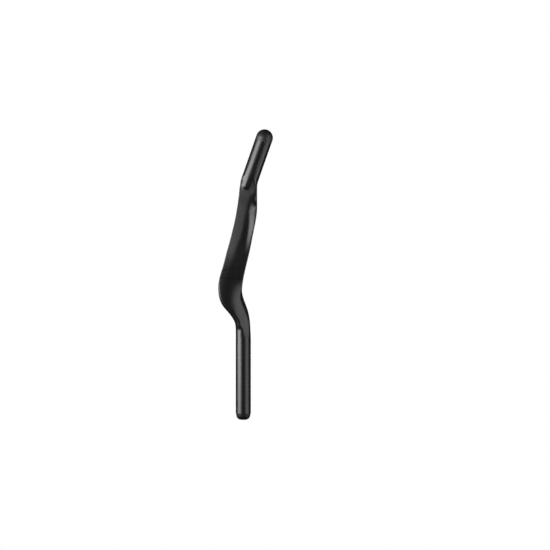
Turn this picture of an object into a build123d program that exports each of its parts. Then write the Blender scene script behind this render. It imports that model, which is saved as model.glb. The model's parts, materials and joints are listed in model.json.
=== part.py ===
from build123d import *
from dataclasses import dataclass
from math import asin, cos, pi, radians, sin, sqrt, tan
import os

# An aero handlebar extension for the left hand: a hollow carbon moulding with a plug cap in each end.
# +Y runs forward from the rear mouth of the clamp tube, +X is the inner side, +Z is up.

# Clamp tube, the straight round end that a clamp holds
CLAMP_OD = 22.2
CLAMP_LENGTH = 90.0
WALL = 2.0

# Lower bend, which carries the bar outward and up from the clamp tube to the wrist rest
BEND_START = 32.0
WRIST_ALONG = 95.0
WRIST_INWARD = -18.9
WRIST_UP = 14.2
WRIST_WIDTH = 35.2
WRIST_TOP = 8.4
WRIST_KEEL = 10.8
WRIST_ROLL = -10.0
WRIST_FLOOR = 5.8
CROWN_RADIUS = 80.0

# Palm rest, a flat floor tipped outward with a raised lip along its inner edge
PALM_ALONG = 194.5
PALM_INWARD = 3.7
PALM_UP = 19.6
PALM_WIDTH = 30.0
PALM_TOP = 8.2
PALM_KEEL = 11.4
PALM_TILT = 10.0
PALM_FLOOR = 2.8
GUTTER_TILT = -4.0
LIP_TILT = 20.0

# Grip, a straight round bar that leans inward and rises, with a rounded heel standing on the palm rest
GRIP_OD = 24.5
GRIP_LENGTH = 54.4
GRIP_ALONG = 257.3
GRIP_INWARD = 11.7
GRIP_UP = 17.7
GRIP_LEAN = 19.7
GRIP_RISE = 11.3
GRIP_RUN_IN = 7.0
HEEL_RADIUS = 6.5
HEEL_ALONG = 243.4
HEEL_INWARD = 2.2
HEEL_UP = 19.3
HEEL_ROOT_RADIUS = 11.8
HEEL_ROOT = 14.0

# Plug caps
CAP_CLEARANCE = 0.1
CAP_WALL = 1.8
CAP_LEAD = 0.8
FRONT_CAP_RIM = 5.0
FRONT_CAP_FLOOR = 6.2
FRONT_SPIGOT = 14.0
REAR_CAP_STEP = 0.3
REAR_CAP_LENGTH = 9.8
REAR_CAP_ROUND = 7.0
REAR_CAP_DRAFT = 8.0
REAR_CAP_FLOOR = 3.5
REAR_SPIGOT = 14.0

# How softly the floor, its creases and the section's shoulders run into each other
EDGE_SOFTNESS = 1.6
CREASE_SOFTNESS = 1.5
SECTION_POINTS = 48
LOFT_RINGS = 54
JOIN_TOLERANCE = 0.0005


@dataclass
class Floor:
    """The flat cut into a section's top. It tips outward, then turns down to a gutter and up to a lip."""

    height: float
    tilt: float = 0.0
    crown: float = 0.0
    gutter_at: float = None
    gutter_tilt: float = 0.0
    lip_at: float = None
    lip_tilt: float = 0.0


@dataclass
class Section:
    """One cross-section of the moulding: its middle, half its width, and its height above and below."""

    middle: Vector
    half: float
    top: float
    bottom: float
    square: float = 2.0
    roll: float = 0.0
    floor: Floor = None


def rounded_step(distance):
    """Zero on one side of a crease, a straight rise on the other, with a soft corner between."""
    return 0.5 * (distance + sqrt(distance**2 + CREASE_SOFTNESS**2))


def lower_of(first, second):
    """The lower of two heights, with a soft corner where they cross."""
    return 0.5 * (first + second - sqrt((first - second) ** 2 + EDGE_SOFTNESS**2))


def floor_height(floor, across):
    """How high the floor stands at a place across the section."""
    height = floor.height + tan(radians(floor.tilt)) * across - floor.crown * across**2 / 2
    slope = floor.tilt
    for place, tilt in ((floor.gutter_at, floor.gutter_tilt), (floor.lip_at, floor.lip_tilt)):
        if place is not None:
            height += (tan(radians(tilt)) - tan(radians(slope))) * rounded_step(across - place)
            slope = tilt
    return height


def section_points(section, inset):
    """Points round a section, inside its outer shape by the inset: an oval cut down by its floor."""
    points = []
    roll = radians(section.roll)
    for step in range(SECTION_POINTS):
        angle = 2 * pi * step / SECTION_POINTS
        upper = sin(angle) > 0
        power = section.square if upper else 2.0
        reach = (section.top if upper else section.bottom) - inset
        across = abs(cos(angle)) / (section.half - inset)
        radius = (across**power + (abs(sin(angle)) / reach) ** power) ** (-1 / power)
        u, v = radius * cos(angle), radius * sin(angle)
        if section.floor and upper:
            v = lower_of(v, floor_height(section.floor, u) - inset)
        points.append((u * cos(roll) - v * sin(roll), u * sin(roll) + v * cos(roll)))
    return points


def cut_plane(origin, forward):
    """The plane of a section: its x runs to the inner side, its y up."""
    sideways = forward.cross(Vector(0, 0, 1)).normalized()
    return Plane(origin=origin, x_dir=sideways, z_dir=-forward)


def from_clamp(inward, along, up):
    """A place measured from the front of the clamp tube."""
    return Vector(inward, CLAMP_LENGTH + along, up)


def between(first, last, inward, along, up, width, **form):
    """A section between two stations, by the share of the way that its place and its width have gone."""
    way = last.middle - first.middle
    place = first.middle + Vector(way.X * inward, way.Y * along, way.Z * up)
    return Section(place, first.half + (last.half - first.half) * width, **form)


forward = Vector(0, 1, 0)
lean, rise = radians(GRIP_LEAN), radians(GRIP_RISE)
grip_forward = Vector(sin(lean) * cos(rise), cos(lean) * cos(rise), sin(rise))
tube_radius = CLAMP_OD / 2
grip_radius = GRIP_OD / 2
half_wrist = WRIST_WIDTH / 2
half_palm = PALM_WIDTH / 2
crown = 1 / CROWN_RADIUS

# Stations: the two round ends, the wrist rest and the palm rest
clamp_front = from_clamp(0, 0, 0)
grip_start = from_clamp(GRIP_INWARD, GRIP_ALONG, GRIP_UP)
bend = Section(from_clamp(0, BEND_START, 0), tube_radius, tube_radius, tube_radius)
wrist = Section(
    from_clamp(WRIST_INWARD, WRIST_ALONG, WRIST_UP), half_wrist, WRIST_TOP, WRIST_KEEL, 2.8, WRIST_ROLL,
    Floor(WRIST_FLOOR, crown=crown),
)
palm = Section(
    from_clamp(PALM_INWARD, PALM_ALONG, PALM_UP), half_palm, PALM_TOP, PALM_KEEL, 3.8, 0,
    Floor(PALM_FLOOR, PALM_TILT, 0, -0.8, GUTTER_TILT, 2.2, LIP_TILT),
)
grip = Section(grip_start, grip_radius, grip_radius, grip_radius)

# All sections, rear to front. The four numbers that follow two stations are shares of the way between them.
sections = [
    Section(from_clamp(0, BEND_START / 2, 0), tube_radius, tube_radius, tube_radius),
    bend,
    between(bend, wrist, 0.07, 0.19, 0.07, 0.00, top=10.9, bottom=11.1, roll=-10),
    between(
        bend, wrist, 0.26, 0.37, 0.25, 0.23, top=10.6, bottom=11.0, square=2.1, roll=-22,
        floor=Floor(9.8),
    ),
    between(
        bend, wrist, 0.57, 0.56, 0.51, 0.65, top=9.8, bottom=10.9, square=2.3, roll=-24,
        floor=Floor(8.0, crown=crown),
    ),
    between(
        bend, wrist, 0.88, 0.75, 0.78, 1.02, top=9.0, bottom=10.8, square=2.5, roll=-18,
        floor=Floor(7.0, crown=crown),
    ),
    wrist,
    between(
        wrist, palm, 0.21, 0.24, 0.37, 0.39, top=8.0, bottom=10.8, square=3.0, roll=-3,
        floor=Floor(4.6, crown=crown),
    ),
    between(
        wrist, palm, 0.51, 0.50, 0.70, 0.66, top=7.8, bottom=11.0, square=3.2,
        floor=Floor(4.0, 3, crown, 8.0, GUTTER_TILT, 11.0, 6),
    ),
    between(
        wrist, palm, 0.78, 0.77, 0.93, 0.89, top=7.8, bottom=11.2, square=3.4,
        floor=Floor(3.2, 8, 0.6 * crown, 1.2, GUTTER_TILT, 4.2, 18),
    ),
    palm,
    between(
        palm, grip, 0.26, 0.23, 0.21, 0.11, top=8.4, bottom=11.8, square=3.8,
        floor=Floor(3.0, PALM_TILT, 0, -0.5, GUTTER_TILT, 2.0, 19),
    ),
    between(
        palm, grip, 0.38, 0.42, 0.63, 0.40, top=8.4, bottom=12.2, square=3.4,
        floor=Floor(3.4, PALM_TILT, 0, 1.0, GUTTER_TILT, 4.0, 10),
    ),
    between(
        palm, grip, 0.45, 0.58, 1.05, 0.65, top=9.0, bottom=12.4, square=3.2,
        floor=Floor(4.2, 11, 0, 6.0, GUTTER_TILT, 9.0, 12),
    ),
    between(palm, grip, 0.54, 0.75, 1.42, 0.87, top=10.8, bottom=12.4, square=4.0, floor=Floor(7.4, 12)),
]
spine = Spline(
    clamp_front, *[section.middle for section in sections], grip_start - grip_forward * GRIP_RUN_IN,
    grip_start, tangents=[forward, grip_forward],
)


def natural_curve(knots, values, places):
    """The values at the places asked for, on the smoothest curve through the given values at the knots."""
    gaps = [after - before for before, after in zip(knots, knots[1:])]
    slopes = [(after - before) / gap for before, after, gap in zip(values, values[1:], gaps)]
    shares, loads = [0.0], [0.0]
    for index in range(1, len(gaps)):
        pivot = 2 * (gaps[index - 1] + gaps[index]) - gaps[index - 1] * shares[-1]
        loads.append((6 * (slopes[index] - slopes[index - 1]) - gaps[index - 1] * loads[-1]) / pivot)
        shares.append(gaps[index] / pivot)
    bends = [0.0] * len(knots)
    for index in range(len(gaps) - 1, 0, -1):
        bends[index] = loads[index] - shares[index] * bends[index + 1]
    results = []
    for place in places:
        index = max(number for number in range(len(gaps)) if number == 0 or knots[number] <= place)
        gap, step = gaps[index], place - knots[index]
        slope = slopes[index] - gap * (2 * bends[index] + bends[index + 1]) / 6
        bend_change = (bends[index + 1] - bends[index]) / (6 * gap)
        results.append(values[index] + slope * step + bends[index] / 2 * step**2 + bend_change * step**3)
    return results


def hull(start, end, start_radius, end_radius):
    """A round horn: a ball at each end with a cone that touches both."""
    length = (end - start).length
    lead = asin((end_radius - start_radius) / length)
    first_touch = (start_radius * cos(lead), -start_radius * sin(lead))
    last_touch = (end_radius * cos(lead), length - end_radius * sin(lead))
    profile = [
        CenterArc((0, 0), start_radius, -90, 90 - lead * 180 / pi),
        Line(first_touch, last_touch),
        CenterArc((0, length), end_radius, -lead * 180 / pi, 90 + lead * 180 / pi),
        Line((0, length + end_radius), (0, -start_radius)),
    ]
    half = Plane.XZ * make_face(profile)
    return Plane(origin=start, z_dir=(end - start)) * revolve(half, Axis.Z)


def section_ring(section, direction, inset):
    plane = cut_plane(section.middle, direction)
    return [plane.from_local_coords(Vector(u, v, 0)) for u, v in section_points(section, inset)]


def round_ring(radius, origin, direction):
    return section_ring(Section(origin, radius, radius, radius), direction, 0)


def ring_wire(points):
    """A closed curve through a ring of points. All rings number their points alike."""
    numbers = [float(number) for number in range(SECTION_POINTS + 1)]
    return Wire([Edge.make_spline(points, periodic=True, parameters=numbers)])


def round_bar(radius, start, direction, length):
    ends = (Align.CENTER, Align.CENTER, Align.MIN)
    return Plane(origin=start, z_dir=direction) * Cylinder(radius, length, align=ends)


def bar(inset):
    """The whole bar as a solid, inside its outer shape by the inset."""
    middles = [clamp_front + forward * back for back in (-2 * BEND_START, -BEND_START, 0)]
    rings = [round_ring(tube_radius - inset, origin, forward) for origin in middles]
    first = len(rings) - 1
    for section in sections:
        middles.append(section.middle)
        rings.append(section_ring(section, spine.tangent_at(section.middle), inset))
    last = len(rings) + 1
    for ahead in (-GRIP_RUN_IN, 0, GRIP_RUN_IN, 2 * GRIP_RUN_IN):
        middles.append(grip_start + grip_forward * ahead)
        rings.append(round_ring(grip_radius - inset, middles[-1], grip_forward))
    knots = [0.0]
    for before, after in zip(middles, middles[1:]):
        knots.append(knots[-1] + (after - before).length)
    spacing = (knots[last] - knots[first]) / (LOFT_RINGS - 1)
    places = [knots[first] + spacing * number for number in range(LOFT_RINGS)]
    stringers = []
    for number in range(SECTION_POINTS):
        axes = zip(*[tuple(ring[number]) for ring in rings])
        stringers.append(list(zip(*[natural_curve(knots, values, places) for values in axes])))
    wires = [ring_wire([stringer[number] for stringer in stringers]) for number in range(LOFT_RINGS)]
    clamp_bar = round_bar(tube_radius - inset, Vector(0, 0, 0), forward, CLAMP_LENGTH)
    grip_bar = round_bar(grip_radius - inset, grip_start, grip_forward, GRIP_LENGTH)
    heel = hull(
        from_clamp(HEEL_INWARD, HEEL_ALONG, HEEL_UP), grip_start + grip_forward * HEEL_ROOT,
        HEEL_RADIUS - inset, HEEL_ROOT_RADIUS - inset,
    )
    return clamp_bar.fuse(Solid.make_loft(wires), grip_bar, tol=JOIN_TOLERANCE) + heel


def plug(rim, rim_radius, rim_top, rim_inside, spigot_radius, spigot_length):
    """A plug cap turned about Z: the rim's outside, then a hollow spigot with a lead-in."""
    inside = Polyline(
        (rim_radius, 0),
        (spigot_radius, 0),
        (spigot_radius, -spigot_length + CAP_LEAD),
        (spigot_radius - CAP_LEAD, -spigot_length),
        (spigot_radius - CAP_WALL, -spigot_length),
        (spigot_radius - CAP_WALL, rim_inside),
        (0, rim_inside),
        (0, rim_top),
    )
    return revolve(Plane.XZ * make_face(rim + inside.edges()), Axis.Z)


tube = bar(0) - bar(WALL)

front_rim = [
    CenterArc((0, FRONT_CAP_RIM), grip_radius, 0, 90),
    Line((grip_radius, FRONT_CAP_RIM), (grip_radius, 0)),
]
front_top = FRONT_CAP_RIM + grip_radius
front_spigot_radius = grip_radius - WALL - CAP_CLEARANCE
front_inside = front_top - FRONT_CAP_FLOOR
front_plug = plug(front_rim, grip_radius, front_top, front_inside, front_spigot_radius, FRONT_SPIGOT)
front_cap = Plane(origin=grip_start + grip_forward * GRIP_LENGTH, z_dir=grip_forward) * front_plug

rear_radius = tube_radius - REAR_CAP_STEP
draft = radians(REAR_CAP_DRAFT)
shoulder = REAR_CAP_LENGTH - REAR_CAP_ROUND * (1 - sin(draft))
shoulder_radius = rear_radius - shoulder * tan(draft)
rear_flat = shoulder_radius - REAR_CAP_ROUND * cos(draft)
rear_rim = [
    Line((0, REAR_CAP_LENGTH), (rear_flat, REAR_CAP_LENGTH)),
    TangentArc((rear_flat, REAR_CAP_LENGTH), (shoulder_radius, shoulder), tangent=(1, 0)),
    Line((shoulder_radius, shoulder), (rear_radius, 0)),
]
rear_inside = REAR_CAP_LENGTH - REAR_CAP_FLOOR
rear_spigot_radius = tube_radius - WALL - CAP_CLEARANCE
rear_plug = plug(rear_rim, rear_radius, REAR_CAP_LENGTH, rear_inside, rear_spigot_radius, REAR_SPIGOT)
rear_cap = Plane(origin=(0, 0, 0), z_dir=-forward) * rear_plug

os.makedirs("parts", exist_ok=True)
export_step(tube, "parts/extension_tube.step")
export_step(front_cap, "parts/front_end_cap.step")
export_step(rear_cap, "parts/rear_end_cap.step")
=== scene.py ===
# %% [markdown]
# # An aero handlebar extension
# The solids of this bar come ready made, at their real size and place. This lesson gives them their
# looks: a satin carbon skin with crisp forms, the black edges of its last wrap, moulded plug caps,
# printed depth marks, and a small studio to see them in. Everything is in metres, apart from the skin's
# sections and heel, which are in millimetres. +Y runs forward along the bar, +X is its inner side, and
# +Z is up.

# %% Load the solids
import json
import math
from dataclasses import dataclass

import bpy
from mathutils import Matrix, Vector


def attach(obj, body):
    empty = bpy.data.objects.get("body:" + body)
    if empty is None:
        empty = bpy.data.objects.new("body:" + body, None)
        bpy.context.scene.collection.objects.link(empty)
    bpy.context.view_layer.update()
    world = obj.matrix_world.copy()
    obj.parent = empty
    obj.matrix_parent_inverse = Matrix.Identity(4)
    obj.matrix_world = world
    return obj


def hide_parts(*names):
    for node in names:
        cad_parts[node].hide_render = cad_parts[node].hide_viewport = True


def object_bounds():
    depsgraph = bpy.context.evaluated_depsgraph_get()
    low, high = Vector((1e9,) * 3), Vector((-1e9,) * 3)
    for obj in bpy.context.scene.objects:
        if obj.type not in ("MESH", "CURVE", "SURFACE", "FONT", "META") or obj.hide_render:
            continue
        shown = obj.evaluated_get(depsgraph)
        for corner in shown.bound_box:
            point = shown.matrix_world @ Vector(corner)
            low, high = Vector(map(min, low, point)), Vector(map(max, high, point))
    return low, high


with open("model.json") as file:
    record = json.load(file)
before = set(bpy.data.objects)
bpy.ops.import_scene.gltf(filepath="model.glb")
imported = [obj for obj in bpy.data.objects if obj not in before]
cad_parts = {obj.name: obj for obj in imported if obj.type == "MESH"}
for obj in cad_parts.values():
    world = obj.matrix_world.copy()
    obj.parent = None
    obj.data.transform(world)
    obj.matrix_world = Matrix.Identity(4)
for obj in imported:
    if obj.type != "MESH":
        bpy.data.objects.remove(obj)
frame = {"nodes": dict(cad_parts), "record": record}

MM = 0.001
solid_low, solid_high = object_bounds()
print("solids", sorted(frame["nodes"]), "from", tuple(solid_low), "to", tuple(solid_high))

# %% [markdown]
# ## The camera
# The bar is seen from straight above and from far away, so that its two ends are drawn to nearly the same
# scale. A camera that isn't turned looks straight down with +Y up the picture, so it only needs a place
# and a lens. The lens follows from the height and from how many millimetres one pixel of the square
# picture covers. The place follows from the column of the clamp tube's axis and the row of its rear mouth
# in the picture.

# %% Camera
PICTURE_PIXELS = 550
PIXEL = 1.47 * MM
TUBE_COLUMN = 243.3
REAR_MOUTH_ROW = 413.0
CAMERA_HEIGHT = 2.4
SENSOR_WIDTH = 36.0

half_picture = PICTURE_PIXELS / 2
camera_data = bpy.data.cameras.new("camera")
camera_data.sensor_width = SENSOR_WIDTH
camera_data.lens = SENSOR_WIDTH * CAMERA_HEIGHT / (PICTURE_PIXELS * PIXEL)
camera = bpy.data.objects.new("camera", camera_data)
camera.location = (
    (half_picture - TUBE_COLUMN) * PIXEL,
    (REAR_MOUTH_ROW - half_picture) * PIXEL,
    CAMERA_HEIGHT,
)
bpy.context.scene.collection.objects.link(camera)
bpy.context.scene.camera = camera
bpy.context.scene.view_settings.view_transform = "Standard"
print("lens", round(camera_data.lens, 1), "mm")

# %% [markdown]
# ## Helpers for materials
# A colour picked on a screen is an sRGB value, while shaders count in linear light, so one function turns
# a hex colour to linear. Another adds a node: it takes the node's type, its own settings, and what goes
# into its sockets, which is either a plain value or the socket of another node. A third starts an empty
# material.

# %% Colour and node helpers
def linear(hex_colour):
    """An sRGB hex colour as linear red, green, blue and alpha, by the curve of the sRGB standard."""
    parts = [int(hex_colour[start:start + 2], 16) / 255 for start in (1, 3, 5)]
    return [part / 12.92 if part <= 0.04045 else ((part + 0.055) / 1.055) ** 2.4 for part in parts] + [1.0]


def add_node(material, kind, settings=None, inputs=None):
    """A new node in a material, with its settings, and values or links for its sockets."""
    tree = material.node_tree
    node = tree.nodes.new(kind)
    for name, value in (settings or {}).items():
        setattr(node, name, value)
    for name, value in (inputs or {}).items():
        if isinstance(value, bpy.types.NodeSocket):
            tree.links.new(value, node.inputs[name])
        else:
            node.inputs[name].default_value = value
    return node


def new_material(name):
    """An empty node material and its output node."""
    material = bpy.data.materials.new(name)
    material.use_nodes = True
    material.node_tree.nodes.clear()
    return material, add_node(material, "ShaderNodeOutputMaterial")


print("white is", linear("#ffffff"))

# %% [markdown]
# ## Satin carbon
# The bar is laid up from carbon fibre in a mould and sprayed with a satin clear lacquer. To the eye it is
# nearly black, and what shows is the soft sheen of the lacquer. Close by, the fibres under it draw faint
# long streaks along the bar, and the lacquer has a little unevenness. A picture of carbon cloth would
# repeat and stretch, so stretched noise on Object coordinates draws the streaks instead: it is thin
# across the bar and long down its length. Single fibres are too fine to show, so the streaks are as
# coarse as bundles of them.

# %% Satin carbon
STREAK_WIDTH = 0.9 * MM
STREAK_LENGTH = 45 * MM
PEEL_SIZE = 4 * MM
PEEL_HEIGHT = 0.0006 * MM


def satin_carbon():
    """Nearly black carbon fibre under a satin clear lacquer."""
    material, output = new_material("satin_lacquered_carbon")
    coordinates = add_node(material, "ShaderNodeTexCoord")
    drawn_out = add_node(
        material, "ShaderNodeMapping",
        inputs={"Vector": coordinates.outputs["Object"],
                "Scale": (1 / STREAK_WIDTH, 1 / STREAK_LENGTH, 1 / STREAK_WIDTH)},
    )
    streaks = add_node(
        material, "ShaderNodeTexNoise", settings={"label": "Fibre streaks"},
        inputs={"Vector": drawn_out.outputs["Vector"], "Scale": 1.0, "Detail": 3.0, "Roughness": 0.6},
    )
    tone = add_node(material, "ShaderNodeValToRGB", inputs={"Fac": streaks.outputs["Fac"]})
    tone.color_ramp.elements[0].position = 0.3
    tone.color_ramp.elements[0].color = linear("#0b0b0c")
    tone.color_ramp.elements[1].position = 0.7
    tone.color_ramp.elements[1].color = linear("#101112")
    sheen = add_node(
        material, "ShaderNodeMapRange", settings={"label": "Sheen of the lacquer"},
        inputs={"Value": streaks.outputs["Fac"], "From Min": 0.3, "From Max": 0.7,
                "To Min": 0.345, "To Max": 0.365},
    )
    peel = add_node(
        material, "ShaderNodeTexNoise", settings={"label": "Unevenness of the lacquer"},
        inputs={"Vector": coordinates.outputs["Object"], "Scale": 1 / PEEL_SIZE, "Detail": 1.0},
    )
    bump = add_node(
        material, "ShaderNodeBump",
        inputs={"Height": peel.outputs["Fac"], "Strength": 1.0, "Distance": PEEL_HEIGHT},
    )
    shader = add_node(
        material, "ShaderNodeBsdfPrincipled",
        inputs={"Base Color": tone.outputs["Color"], "Roughness": sheen.outputs["Result"],
                "Normal": bump.outputs["Normal"], "IOR": 1.5},
    )
    material.node_tree.links.new(shader.outputs["BSDF"], output.inputs["Surface"])
    return material


carbon = satin_carbon()
print("material", carbon.name, "with", len(carbon.node_tree.nodes), "nodes")

# %% [markdown]
# ## Moulded plug caps
# Both caps are injection moulded in a black elastomer. The mould was etched, so the surface is even and
# satin, with a grain of a few tenths of a millimetre that breaks up the light. Both caps are the same
# elastomer, but the front cap's tones are painted lighter, a painted light, and the rear cap's darker, a
# painted shade, for how the studio light falls on each. The rear cap is also set duller. So the function
# takes the two tones of the grain and the gloss.

# %% Plug cap material
GRAIN_SIZE = 0.45 * MM
GRAIN_HEIGHT = 0.006 * MM


def moulded_cap(name, dark, light, gloss):
    """Black elastomer from an etched mould, between a dark and a light tone."""
    material, output = new_material(name)
    coordinates = add_node(material, "ShaderNodeTexCoord")
    grain = add_node(
        material, "ShaderNodeTexNoise", settings={"label": "Etched grain"},
        inputs={"Vector": coordinates.outputs["Object"], "Scale": 1 / GRAIN_SIZE, "Detail": 2.0},
    )
    tone = add_node(material, "ShaderNodeValToRGB", inputs={"Fac": grain.outputs["Fac"]})
    tone.color_ramp.elements[0].position = 0.35
    tone.color_ramp.elements[0].color = linear(dark)
    tone.color_ramp.elements[1].position = 0.65
    tone.color_ramp.elements[1].color = linear(light)
    sheen = add_node(
        material, "ShaderNodeMapRange", settings={"label": "Sheen of the grain"},
        inputs={"Value": grain.outputs["Fac"], "From Min": 0.3, "From Max": 0.7,
                "To Min": 0.44, "To Max": 0.52},
    )
    bump = add_node(
        material, "ShaderNodeBump",
        inputs={"Height": grain.outputs["Fac"], "Strength": 1.0, "Distance": GRAIN_HEIGHT},
    )
    shader = add_node(
        material, "ShaderNodeBsdfPrincipled",
        inputs={"Base Color": tone.outputs["Color"], "Roughness": sheen.outputs["Result"],
                "Normal": bump.outputs["Normal"], "Specular IOR Level": gloss},
    )
    material.node_tree.links.new(shader.outputs["BSDF"], output.inputs["Surface"])
    return material


# The front cap's lighter grain tones are painted light, and the rear cap's darker ones are painted shade.
front_cap_painted_light = moulded_cap("front_cap_elastomer_painted_light", dark="#1d1d1e", light="#262627", gloss=0.5)
rear_cap_painted_shade = moulded_cap("rear_cap_elastomer_painted_shade", dark="#0a0a0b", light="#111112", gloss=0.3)
print("materials", front_cap_painted_light.name, rear_cap_painted_shade.name)

# %% [markdown]
# ## The bar's skin
# The moulding's solid has the right size and run, but its palm rest is softer than the real one. There a
# crisp gutter lies beside a bright lip, and the grip's rounded heel sinks into the rest along a slanting
# crease. So the outside is drawn once more as a skin. It could be sculpted, but a skin that goes through
# a row of cross-sections is easier to set right. Each section is an oval, and a floor cuts its top flat.
# Lengths are in millimetres and tilts in degrees. The clamp tube comes first: it is straight and round,
# and its length and radius are those of the mount in the record.

# %% Sections of the clamp tube
OVAL = 2.0


@dataclass
class Floor:
    """The flat cut into a section's top: its height, tilt and crown, and how it turns going inward.

    At the crease the floor falls off or levels out, and after it the lip rises. Beside the heel, the last
    turn is a falling rim instead of the lip.
    """

    height: float
    tilt: float = 0.0
    crown: float = 0.0
    crease_at: float = None
    crease_tilt: float = 0.0
    lip_at: float = None
    lip_tilt: float = 0.0


@dataclass
class Section:
    """A cross-section: middle, half width, reach above and below, squareness of the top, roll and floor."""

    middle: Vector
    half: float
    top: float
    bottom: float
    square: float = OVAL
    roll: float = 0.0
    floor: Floor = None


def place(inward, along, up):
    """A place on the bar, measured from the front end of the clamp tube, on its axis."""
    return Vector((inward, along, up))


def round_section(middle, radius, floor=None):
    """A section of a round tube."""
    return Section(middle, radius, radius, radius, floor=floor)


CLAMP_LENGTH = frame["record"]["mounts"][0]["dims"]["length_mm"]
CLAMP_RADIUS = frame["record"]["mounts"][0]["dims"]["r_mm"]
CLAMP_PLACES = (-CLAMP_LENGTH, -60, -30, 0, 14)
clamp_sections = [round_section(place(0, along, 0), CLAMP_RADIUS) for along in CLAMP_PLACES]
print("sections of the clamp tube", len(clamp_sections))

# %% [markdown]
# From the tube the bar bends outward and rises to the wrist rest, and gets wider and flatter on the way.
# Its sections lean to the inner side in the bend, and come back to level on the palm rest. Going inward,
# the palm rest's floor rises to a soft crease, dips to a gutter and rises again to the lip, which ends
# beside the heel.

# %% Sections of the wrist rest and the palm rest
# A Section has its middle, half width, reach above and below, squareness and roll, and then a Floor with
# its height, tilt and crown, the place and tilt of the crease, and the place and tilt of the lip.
wrist_sections = [
    round_section(place(0, 17, 0), CLAMP_RADIUS),
    Section(place(-0.2, 29, 0.2), 10.9, 11.0, 11.1, 2.0, -12, Floor(10.4, -15)),
    Section(place(-0.4, 34, 0.35), 10.8, 10.95, 11.1, 2.05, -14, Floor(10.0, -14, 0, 7.8, -40)),
    Section(place(-0.8, 39, 0.9), 10.7, 10.9, 11.1, 2.8, -13, Floor(9.3, -14, 0, 7.4, -40)),
    Section(place(-2.4, 48.5, 2.7), 11.5, 10.7, 11.0, 2.8, -13, Floor(8.8, -12, 0, 7.0, -42)),
    Section(place(-4.6, 55.3, 4.3), 12.8, 10.6, 11.0, 2.4, -15, Floor(7.6, -11, 0, 7.0, -42)),
    Section(place(-10.4, 67.3, 7.2), 15.1, 9.8, 10.9, 2.3, -14, Floor(7.1, -7, 0.020, 9.5, -40)),
    Section(place(-16.9, 79.3, 11.1), 17.2, 9.0, 10.8, 2.5, -11, Floor(6.8, -2, 0.020, 13.8, -38)),
    Section(place(-18.85, 95.0, 14.2), 17.5, 8.4, 10.8, 2.8, -8, Floor(5.8, 0, 0.018, 16.0, -38)),
]
palm_sections = [
    Section(place(-14.15, 118.9, 16.2), 16.6, 8.0, 10.8, 3.0, -2, Floor(5.2, 9, 0, -6.5, -0.5)),
    Section(place(-7.6, 144.8, 18.0), 16.2, 7.8, 11.0, 3.4, 0, Floor(4.9, 13, 0, -3.7, 0, 10.5, 4)),
    Section(place(-4.55, 156.7, 18.7), 15.8, 7.8, 11.1, 4.0, 0, Floor(4.3, 13.5, 0, -2.6, -1, 8.4, 14)),
    Section(place(-1.75, 169.1, 19.2), 15.4, 7.8, 11.2, 4.6, 0, Floor(3.7, 13.5, 0, -0.4, -5, 7.3, 19)),
    Section(place(3.7, 194.5, 19.6), 15.0, 8.2, 11.4, 5.0, 0, Floor(2.9, 13.5, 0, -0.2, -5, 4.7, 20)),
    Section(place(5.8, 208.9, 19.2), 14.7, 8.4, 11.8, 5.0, 0, Floor(3.0, 13, 0, 0.8, -7, 3.3, 19)),
    Section(place(6.3, 214.6, 18.9), 14.3, 8.4, 12.0, 5.0, 0, Floor(3.2, 12.5, 0, 1.4, -6, 4.2, 17)),
    Section(place(6.7, 220.9, 18.4), 13.9, 8.4, 12.2, 5.0, 0, Floor(3.5, 12, 0, 2.6, 0, 10.8, -26)),
    Section(place(7.3, 230.9, 17.6), 13.2, 9.0, 12.4, 4.6, 0, Floor(4.7, 12, 0, 10.6, -20)),
    Section(place(8.0, 241.6, 16.9), 12.6, 10.8, 12.4, 4.6, 0, Floor(7.2, 12)),
    Section(place(9.2, 249.9, 16.2), 12.4, 12.0, 12.4, 3.2, 0, Floor(9.6, 11)),
]
print("sections of the wrist rest and the palm rest", len(wrist_sections), len(palm_sections))

# %% [markdown]
# The grip is a straight round tube again. It leans to the inner side and rises towards its mouth. A last
# trace of the floor fades out at its start.

# %% Sections of the grip
GRIP_START = place(11.7, 257.3, 17.7)
GRIP_LEAN = math.radians(19.7)
GRIP_RISE = math.radians(11.3)
GRIP_RADIUS = 12.25
GRIP_LENGTH = 54.4
GRIP_FLOOR_END = 7
GRIP_PLACES = (16, 30, 42, GRIP_LENGTH)

grip_forward = Vector((
    math.sin(GRIP_LEAN) * math.cos(GRIP_RISE),
    math.cos(GRIP_LEAN) * math.cos(GRIP_RISE),
    math.sin(GRIP_RISE),
))


def on_grip(ahead):
    """A place on the grip's axis, ahead of its start."""
    return GRIP_START + grip_forward * ahead


grip_sections = [
    round_section(GRIP_START, GRIP_RADIUS, Floor(10.8, 9)),
    round_section(on_grip(GRIP_FLOOR_END), GRIP_RADIUS, Floor(12.2, 9)),
]
grip_sections += [round_section(on_grip(ahead), GRIP_RADIUS) for ahead in GRIP_PLACES]
sections = clamp_sections + wrist_sections + palm_sections + grip_sections
print("sections of the grip", len(grip_sections), "and of the whole bar", len(sections))

# %% [markdown]
# A floor's height follows from its tilts. It could turn sharply where they change, but a real mould has a
# small radius in each corner, so every turn is a rounded step.

# %% Floor of a section
CREASE_SOFTNESS = 2.2
LIP_SOFTNESS = 1.5


def rounded_step(distance, softness):
    """Zero on one side of a crease, a straight rise on the other, with a soft corner between."""
    return 0.5 * (distance + math.sqrt(distance**2 + softness**2))


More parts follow.
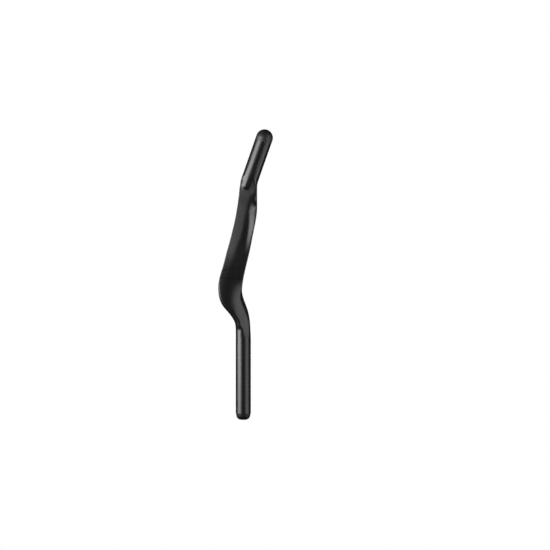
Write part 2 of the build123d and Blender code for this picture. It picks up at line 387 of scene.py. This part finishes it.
def floor_height(floor, across):
    """The height of a floor at a distance inward of the section's middle."""
    slope = math.tan(math.radians(floor.tilt))
    height = floor.height + slope * across - floor.crown * across**2 / 2
    turns = [
        (floor.crease_at, floor.crease_tilt, CREASE_SOFTNESS),
        (floor.lip_at, floor.lip_tilt, LIP_SOFTNESS),
    ]
    for turn_at, tilt, softness in turns:
        if turn_at is not None:
            new_slope = math.tan(math.radians(tilt))
            height += (new_slope - slope) * rounded_step(across - turn_at, softness)
            slope = new_slope
    return height


palm_floor = [round(floor_height(section.floor, 0.0), 1) for section in palm_sections]
print("palm floor above the sections' middles", palm_floor)

# %% [markdown]
# A ring goes round a section in even steps of angle. Above, a higher power than an oval's makes the top
# squarer. The floor then cuts it, with a soft edge, and the roll leans the ring to one side.

# %% Ring of a section
RING_POINTS = 96
EDGE_SOFTNESS = 1.1
TUBE_FORWARD = Vector((0, 1, 0))
UPWARD = Vector((0, 0, 1))


def ring(section, forward):
    """The points round a section, from its inner side over the top."""
    sideways = forward.cross(UPWARD).normalized()
    upright = sideways.cross(forward)
    roll = math.radians(section.roll)
    points = []
    for number in range(RING_POINTS):
        angle = 2 * math.pi * number / RING_POINTS
        upper = math.sin(angle) > 0
        power = section.square if upper else OVAL
        reach = section.top if upper else -section.bottom
        across = section.half * math.cos(angle)
        high = reach * max(0.0, 1 - abs(math.cos(angle)) ** power) ** (1 / power)
        if section.floor:
            high -= rounded_step(high - floor_height(section.floor, across), EDGE_SOFTNESS)
        rolled_across = across * math.cos(roll) - high * math.sin(roll)
        rolled_high = across * math.sin(roll) + high * math.cos(roll)
        points.append(section.middle + sideways * rolled_across + upright * rolled_high)
    return points


tube_ring = ring(clamp_sections[0], TUBE_FORWARD)
print("clamp tube", round((tube_ring[0] - tube_ring[RING_POINTS // 2]).length, 2), "mm wide")

# %% [markdown]
# A natural cubic curve is the bend that a thin springy rod takes through fixed points. One such rod runs
# through every point of the sections, from the rear mouth to the front, and the skin's rings are read off
# the rods. Its fixed points, the knots, lie as far apart as the sections' middles do.

# %% Curve of a springy rod
def natural_curve(knots, values, places):
    """The values at the places, on the smoothest curve through the given values at the knots."""
    gaps = [after - before for before, after in zip(knots, knots[1:])]
    slopes = [(after - before) / gap for before, after, gap in zip(values, values[1:], gaps)]
    shares, loads = [0.0], [0.0]
    for index in range(1, len(gaps)):
        pivot = 2 * (gaps[index - 1] + gaps[index]) - gaps[index - 1] * shares[-1]
        loads.append((6 * (slopes[index] - slopes[index - 1]) - gaps[index - 1] * loads[-1]) / pivot)
        shares.append(gaps[index] / pivot)
    bends = [0.0] * len(knots)
    for index in range(len(gaps) - 1, 0, -1):
        bends[index] = loads[index] - shares[index] * bends[index + 1]
    results = []
    index = 0
    for wanted in places:
        while index < len(gaps) - 1 and knots[index + 1] <= wanted:
            index += 1
        gap, step = gaps[index], wanted - knots[index]
        slope = slopes[index] - gap * (2 * bends[index] + bends[index + 1]) / 6
        change = (bends[index + 1] - bends[index]) / (6 * gap)
        results.append(values[index] + slope * step + bends[index] / 2 * step**2 + change * step**3)
    return results


middles = [section.middle for section in sections]
section_knots = [0.0]
for before, after in zip(middles, middles[1:]):
    section_knots.append(section_knots[-1] + (after - before).length)
print("length along the sections' middles", round(section_knots[-1], 1), "mm")

# %% [markdown]
# Each section stands square to the bar. The bar's direction there is read off the curve through the
# middles, a small step behind the section and ahead of it. The clamp tube and the grip are straight, so
# theirs are known.

# %% Rods of the skin
SMALL_STEP = 0.5
RING_COUNT = 300


def smooth_line(points, places):
    """Points at the places, on a smooth line that goes through one given point for each section."""
    axes = zip(*points)
    return list(zip(*[natural_curve(section_knots, values, places) for values in axes]))


behind = smooth_line(middles, [knot - SMALL_STEP for knot in section_knots])
ahead = smooth_line(middles, [knot + SMALL_STEP for knot in section_knots])
directions = [(Vector(after) - Vector(before)).normalized() for before, after in zip(behind, ahead)]
directions[:len(clamp_sections)] = [TUBE_FORWARD] * len(clamp_sections)
directions[-len(grip_sections):] = [grip_forward] * len(grip_sections)
rings = [ring(section, direction) for section, direction in zip(sections, directions)]
ring_places = [section_knots[-1] * number / (RING_COUNT - 1) for number in range(RING_COUNT)]
rods = [smooth_line([points[number] for points in rings], ring_places) for number in range(RING_POINTS)]
print("rods", len(rods), "with", len(rods[0]), "points each")

# %% [markdown]
# The heel is a horn: a small ball on the palm rest that swells, along a straight line, to nearly the
# grip's own roundness. The skin's top is lifted onto it wherever the horn stands higher, with a soft
# corner at the crease. The horn's height over a place is that of its highest ball there. It is found
# roughly in a few steps, and then closer and closer by leaving out the third where the balls are lower.

# %% Heel of the grip
HEEL_START = place(5.4, 243.9, 17.3)
HEEL_RUN = 14
HEEL_END = on_grip(HEEL_RUN)
HEEL_START_RADIUS = 8.2
HEEL_END_RADIUS = 11.8
HEEL_SOFTNESS = 0.6
HEEL_STEPS = 12
FINE_STEPS = 30


def horn_top(x, y, share):
    """The top, over a place, of the horn's ball at a share of its length. Outside the ball it falls away."""
    middle = HEEL_START.lerp(HEEL_END, share)
    radius = HEEL_START_RADIUS + (HEEL_END_RADIUS - HEEL_START_RADIUS) * share
    rest = radius**2 - (x - middle.x) ** 2 - (y - middle.y) ** 2
    return middle.z + math.copysign(math.sqrt(abs(rest)), rest)


def horn_height(x, y):
    """The highest of the horn's balls over a place."""
    best = max(range(HEEL_STEPS + 1), key=lambda step: horn_top(x, y, step / HEEL_STEPS))
    low, high = max(0, best - 1) / HEEL_STEPS, min(HEEL_STEPS, best + 1) / HEEL_STEPS
    for _ in range(FINE_STEPS):
        first, second = low + (high - low) / 3, high - (high - low) / 3
        if horn_top(x, y, first) < horn_top(x, y, second):
            low = first
        else:
            high = second
    return horn_top(x, y, (low + high) / 2)


def with_heel(point, upper):
    """The place in metres of a point of the skin in millimetres, lifted onto the horn where it is near."""
    x, y, z = point
    if upper and HEEL_START.y - 2 * HEEL_START_RADIUS < y < HEEL_END.y + HEEL_END_RADIUS:
        heel = horn_height(x, y)
        z = heel + rounded_step(z - heel, HEEL_SOFTNESS)
    return (x * MM, (y + CLAMP_LENGTH) * MM, z * MM)


heel_height = horn_height(HEEL_START.x, HEEL_START.y)
print("heel", round(heel_height, 1), "mm above the clamp tube's axis at its start")

# %% [markdown]
# A flat grid has a row of points for each ring, so each of its points is simply put in its place. The
# first and the last point of a row come to lie together, and merging them closes the tube. The wall
# comes later, from a Solidify modifier.

# %% The skin itself
MERGE_DISTANCE = 0.001 * MM

bpy.ops.object.select_all(action="DESELECT")
bpy.ops.mesh.primitive_grid_add(x_subdivisions=RING_POINTS, y_subdivisions=RING_COUNT - 1)
bar_skin = bpy.context.object
bar_skin.name = "bar_skin"
for index, vertex in enumerate(bar_skin.data.vertices):
    ring_number, number = divmod(index, RING_POINTS + 1)
    upper = 0 < number < RING_POINTS / 2
    vertex.co = with_heel(rods[number % RING_POINTS][ring_number], upper)
bpy.ops.object.mode_set(mode="EDIT")
bpy.ops.mesh.select_all(action="SELECT")
bpy.ops.mesh.remove_doubles(threshold=MERGE_DISTANCE)
bpy.ops.mesh.normals_make_consistent(inside=False)
bpy.ops.object.mode_set(mode="OBJECT")
print("bar skin", len(bar_skin.data.polygons), "faces before it gets its wall")

# %% [markdown]
# ## The wrap's edges
# A last layer of carbon is wrapped round the wrist rest, and under the lacquer its two edges show as thin
# black lines. Lines drawn by hand would not lie on the curved skin, so each is cut out of a copy of it:
# two cuts leave a narrow slice, which gets the thickness of a drop of resin. An edge is given by a point
# of the clamp tube's axis line that lies in its slice, and by the direction that the slice faces.

# %% Wrap edges
EDGE_WIDTH = 0.8 * MM
RESIN_THICKNESS = 0.03 * MM
FILM_SMOOTH_ANGLE = 30
OUTWARD = 1.0
WRAP_FRONT = (Vector((0, 216.0, 0)) * MM, Vector((-0.217, 1, 0)).normalized())
WRAP_REAR = (Vector((0, 195.7, 0)) * MM, Vector((0.096, 1, 0)).normalized())


def select_only(*pieces):
    """Select these pieces and nothing else, with the first of them active."""
    bpy.ops.object.select_all(action="DESELECT")
    for piece in pieces:
        piece.select_set(True)
    bpy.context.view_layer.objects.active = pieces[0]


def thicken(piece, thickness, side):
    """Give the active piece a thickness, to the outward or the inward side of its surface."""
    wall = piece.modifiers.new("wall", "SOLIDIFY")
    wall.thickness = thickness
    wall.offset = side
    bpy.ops.object.modifier_apply(modifier=wall.name)


def wrap_edge(name, middle, direction):
    """A slice of the skin across the bar, as a film of resin."""
    half_slice = direction * EDGE_WIDTH / 2
    select_only(bar_skin)
    bpy.ops.object.duplicate()
    edge = bpy.context.object
    edge.name = name
    bpy.ops.object.mode_set(mode="EDIT")
    bpy.ops.mesh.select_all(action="SELECT")
    bpy.ops.mesh.bisect(plane_co=middle + half_slice, plane_no=direction, clear_outer=True)
    bpy.ops.mesh.select_all(action="SELECT")
    bpy.ops.mesh.bisect(plane_co=middle - half_slice, plane_no=direction, clear_inner=True)
    bpy.ops.object.mode_set(mode="OBJECT")
    thicken(edge, RESIN_THICKNESS, OUTWARD)
    bpy.ops.object.shade_smooth_by_angle(angle=math.radians(FILM_SMOOTH_ANGLE))
    return edge


wrap_edges = [wrap_edge("wrap_edge_front", *WRAP_FRONT), wrap_edge("wrap_edge_rear", *WRAP_REAR)]
print("wrap edges", [len(edge.data.polygons) for edge in wrap_edges], "faces")

# %% [markdown]
# ## Black resin
# Where the last layer ends, epoxy resin gathers along its edge and cures black and dull. So the line
# stays dark where the lacquer beside it shines. A fine noise keeps it from being one flat tone.

# %% Resin of the wrap's edges
RESIN_GRAIN = 0.6 * MM


def black_resin():
    """Dull black epoxy, a little uneven in tone."""
    material, output = new_material("black_epoxy_resin")
    coordinates = add_node(material, "ShaderNodeTexCoord")
    grain = add_node(
        material, "ShaderNodeTexNoise", settings={"label": "Uneven resin"},
        inputs={"Vector": coordinates.outputs["Object"], "Scale": 1 / RESIN_GRAIN, "Detail": 2.0},
    )
    tone = add_node(material, "ShaderNodeValToRGB", inputs={"Fac": grain.outputs["Fac"]})
    tone.color_ramp.elements[0].color = linear("#040404")
    tone.color_ramp.elements[1].color = linear("#0a0a0a")
    shader = add_node(
        material, "ShaderNodeBsdfPrincipled",
        inputs={"Base Color": tone.outputs["Color"], "Roughness": 0.6, "Specular IOR Level": 0.1},
    )
    material.node_tree.links.new(shader.outputs["BSDF"], output.inputs["Surface"])
    return material


def give_finish(piece, material):
    """Make a material the only one of a piece."""
    piece.data.materials.clear()
    piece.data.materials.append(material)


resin = black_resin()
for edge in wrap_edges:
    give_finish(edge, resin)
    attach(edge, "root")
print("material", resin.name)

# %% [markdown]
# ## The skin's wall
# The real moulding is a hollow shell. A Solidify modifier grows its wall inward, so that the outside
# stays where it was drawn. The wrap's edges were cut out before, because they need the outside alone. The
# finished skin then stands in for the tube's solid.

# %% Wall and finish of the skin
SKIN_WALL = 2.0 * MM
SKIN_SMOOTH_ANGLE = 40
INWARD = -1.0

select_only(bar_skin)
thicken(bar_skin, SKIN_WALL, INWARD)
bpy.ops.object.shade_smooth_by_angle(angle=math.radians(SKIN_SMOOTH_ANGLE))
give_finish(bar_skin, carbon)
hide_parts("extension_tube")
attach(bar_skin, "root")
print("bar skin", len(bar_skin.data.polygons), "faces with its wall")

# %% [markdown]
# ## Dress the caps
# The two caps are still shown by their solids. These already have the right shape, so they stay as they
# are, and only their material slots change.

# %% Finishes on the caps
# The front cap gets the tones painted lighter as painted light, and the rear cap those painted darker as
# painted shade.
FINISHES = {"front_end_cap": front_cap_painted_light, "rear_end_cap": rear_cap_painted_shade}
for node_name, finish in FINISHES.items():
    for material_slot in frame["nodes"][node_name].material_slots:
        material_slot.material = finish
    print(node_name, "has", finish.name)

# %% [markdown]
# ## Depth marks
# A printed scale on the inner side of the clamp tube shows how far the bar goes into its clamp. Each mark
# is a thin film of ink that lies on the round tube. It could be painted by a material, but a real film
# keeps its crisp edge however close the camera comes. A ring as wide as one mark is added round the tube,
# all but a short arc of it is deleted, and the arc gets the thickness of ink. The other short marks are
# copies of the first. The last mark is longer, so it is an arc of its own.

# %% Depth marks
MARK_PITCH = 5 * MM
MARK_COUNT = 17
MARK_WIDTH = 0.55 * MM
MARK_HALF_ANGLE = 20.0
LONG_MARK_HALF_ANGLE = 32.0
INK_THICKNESS = 0.03 * MM
MARK_RING_SIDES = 180


def depth_mark(along, half_angle):
    """One arc of ink on the inner side of the tube, at a distance along it."""
    bpy.ops.object.select_all(action="DESELECT")
    bpy.ops.mesh.primitive_cylinder_add(
        vertices=MARK_RING_SIDES, radius=CLAMP_RADIUS * MM, depth=MARK_WIDTH, end_fill_type="NOTHING",
        location=(0, along, 0), rotation=(math.radians(90), 0, 0),
    )
    mark = bpy.context.object
    bpy.ops.object.transform_apply(location=True, rotation=True, scale=True)
    bpy.ops.object.mode_set(mode="EDIT")
    bpy.ops.mesh.select_mode(type="FACE")
    bpy.ops.mesh.select_all(action="DESELECT")
    bpy.ops.object.mode_set(mode="OBJECT")
    for face in mark.data.polygons:
        angle = math.degrees(math.atan2(face.center.z, face.center.x))
        face.select = abs(angle) > half_angle
    bpy.ops.object.mode_set(mode="EDIT")
    bpy.ops.mesh.delete(type="FACE")
    bpy.ops.mesh.select_all(action="SELECT")
    bpy.ops.mesh.normals_make_consistent(inside=False)
    bpy.ops.object.mode_set(mode="OBJECT")
    thicken(mark, INK_THICKNESS, OUTWARD)
    return mark


def mark_copy(mark, distance):
    """A copy of a mark with its own mesh, at a distance ahead of it."""
    select_only(mark)
    bpy.ops.object.duplicate()
    copy = bpy.context.object
    copy.location.y = distance
    bpy.ops.object.transform_apply(location=True, rotation=True, scale=True)
    return copy


first_mark = depth_mark(MARK_PITCH, MARK_HALF_ANGLE)
long_mark = depth_mark(MARK_COUNT * MARK_PITCH, LONG_MARK_HALF_ANGLE)
copies = [mark_copy(first_mark, number * MARK_PITCH) for number in range(1, MARK_COUNT - 1)]
select_only(first_mark, long_mark, *copies)
bpy.ops.object.join()
depth_marks = bpy.context.object
depth_marks.name = "depth_marks"
bpy.ops.object.shade_smooth_by_angle(angle=math.radians(FILM_SMOOTH_ANGLE))
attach(depth_marks, "root")
print("depth marks", MARK_COUNT, "with", len(depth_marks.data.polygons), "faces")

# %% [markdown]
# ## Printing ink
# Screen ink is matt and a little uneven, because the mesh of the screen leaves it thinner in places. A
# fine noise moves its grey up and down.

# %% Printing ink
INK_GRAIN = 0.35 * MM


def printing_ink():
    """Matt grey screen ink, a little uneven in tone."""
    material, output = new_material("grey_printing_ink")
    coordinates = add_node(material, "ShaderNodeTexCoord")
    grain = add_node(
        material, "ShaderNodeTexNoise", settings={"label": "Uneven ink"},
        inputs={"Vector": coordinates.outputs["Object"], "Scale": 1 / INK_GRAIN, "Detail": 2.0},
    )
    tone = add_node(material, "ShaderNodeValToRGB", inputs={"Fac": grain.outputs["Fac"]})
    tone.color_ramp.elements[0].position = 0.35
    tone.color_ramp.elements[0].color = linear("#8d8f91")
    tone.color_ramp.elements[1].position = 0.6
    tone.color_ramp.elements[1].color = linear("#b4b6b8")
    shader = add_node(
        material, "ShaderNodeBsdfPrincipled",
        inputs={"Base Color": tone.outputs["Color"], "Roughness": 0.55},
    )
    material.node_tree.links.new(shader.outputs["BSDF"], output.inputs["Surface"])
    return material


ink = printing_ink()
give_finish(depth_marks, ink)
print("material", ink.name)

# %% [markdown]
# ## The studio
# The bar hangs over a floor of white paper. Lamps could light the paper until it is white, but then they
# would light the bar as strongly, so the paper glows by itself. A black bar is drawn by what it reflects,
# so the paper is kept out of its reflections, and the bar's edges stay dark.

# %% Floor
PAPER_SIZE = 12.0
PAPER_DROP = 0.05

bpy.ops.object.select_all(action="DESELECT")
bpy.ops.mesh.primitive_plane_add(size=PAPER_SIZE, location=(0, 0, solid_low.z - PAPER_DROP))
floor = bpy.context.object
floor.name = "floor"
floor_paper, floor_output = new_material("white_studio_paper")
paper = add_node(
    floor_paper, "ShaderNodeBsdfPrincipled",
    inputs={"Base Color": linear("#000000"), "Specular IOR Level": 0.0,
            "Emission Color": linear("#ffffff"), "Emission Strength": 1.0},
)
floor_paper.node_tree.links.new(paper.outputs["BSDF"], floor_output.inputs["Surface"])
floor.data.materials.append(floor_paper)
floor.visible_glossy = False
floor.visible_diffuse = False
print("floor at", round(floor.location.z, 4))

# %% [markdown]
# From the side, the eye would look past the floor's edge. A wide dome of the same paper closes the room,
# so that the background is white from every side. It isn't reflected and casts no shadow, so the faint
# light of the world round it still comes in.

# %% Backdrop
DOME_RADIUS = 6.0
DOME_SEGMENTS = 48
DOME_RINGS = 24

bpy.ops.object.select_all(action="DESELECT")
bpy.ops.mesh.primitive_uv_sphere_add(
    segments=DOME_SEGMENTS, ring_count=DOME_RINGS, radius=DOME_RADIUS, location=floor.location,
)
backdrop = bpy.context.object
backdrop.name = "backdrop"
bpy.ops.object.mode_set(mode="EDIT")
bpy.ops.mesh.select_all(action="SELECT")
bpy.ops.mesh.flip_normals()
bpy.ops.object.mode_set(mode="OBJECT")
backdrop.data.materials.append(floor_paper)
backdrop.visible_glossy = False
backdrop.visible_diffuse = False
backdrop.visible_shadow = False
print("backdrop radius", DOME_RADIUS)

# %% [markdown]
# Small bright lamps would leave hard spots on the lacquer, so three softboxes draw the bar's long
# highlights: a strong one on the outer side, a weaker one on the inner side, and a small low one further
# back for the clamp tube's sheen. The world is nearly black, so that the rest of the bar stays dark.

# %% Lights
AIM = Vector((0.0, 0.20, 0.02))
WORLD_GREY = 0.02


def softbox(name, spot, length, height, watts):
    """A soft light beside the bar that looks at its middle. Its length lies level."""
    data = bpy.data.lights.new(name, "AREA")
    data.shape = "RECTANGLE"
    data.size = length
    data.size_y = height
    data.energy = watts
    lamp = bpy.data.objects.new(name, data)
    lamp.location = spot
    lamp.rotation_euler = (AIM - Vector(spot)).to_track_quat("-Z", "Y").to_euler()
    bpy.context.scene.collection.objects.link(lamp)
    return lamp


lamps = [
    softbox("outer_softbox", spot=(-1.10, 0.25, 0.58), length=0.80, height=1.2, watts=30.7),
    softbox("inner_softbox", spot=(1.00, 0.20, 0.62), length=1.2, height=1.1, watts=9.0),
    softbox("rear_softbox", spot=(1.30, -0.60, 0.15), length=0.6, height=0.5, watts=3.0),
]
world = bpy.data.worlds.new("studio")
world.use_nodes = True
world.node_tree.nodes["Background"].inputs["Color"].default_value = (WORLD_GREY, WORLD_GREY, WORLD_GREY, 1.0)
bpy.context.scene.world = world
print("lights", [lamp.name for lamp in lamps])
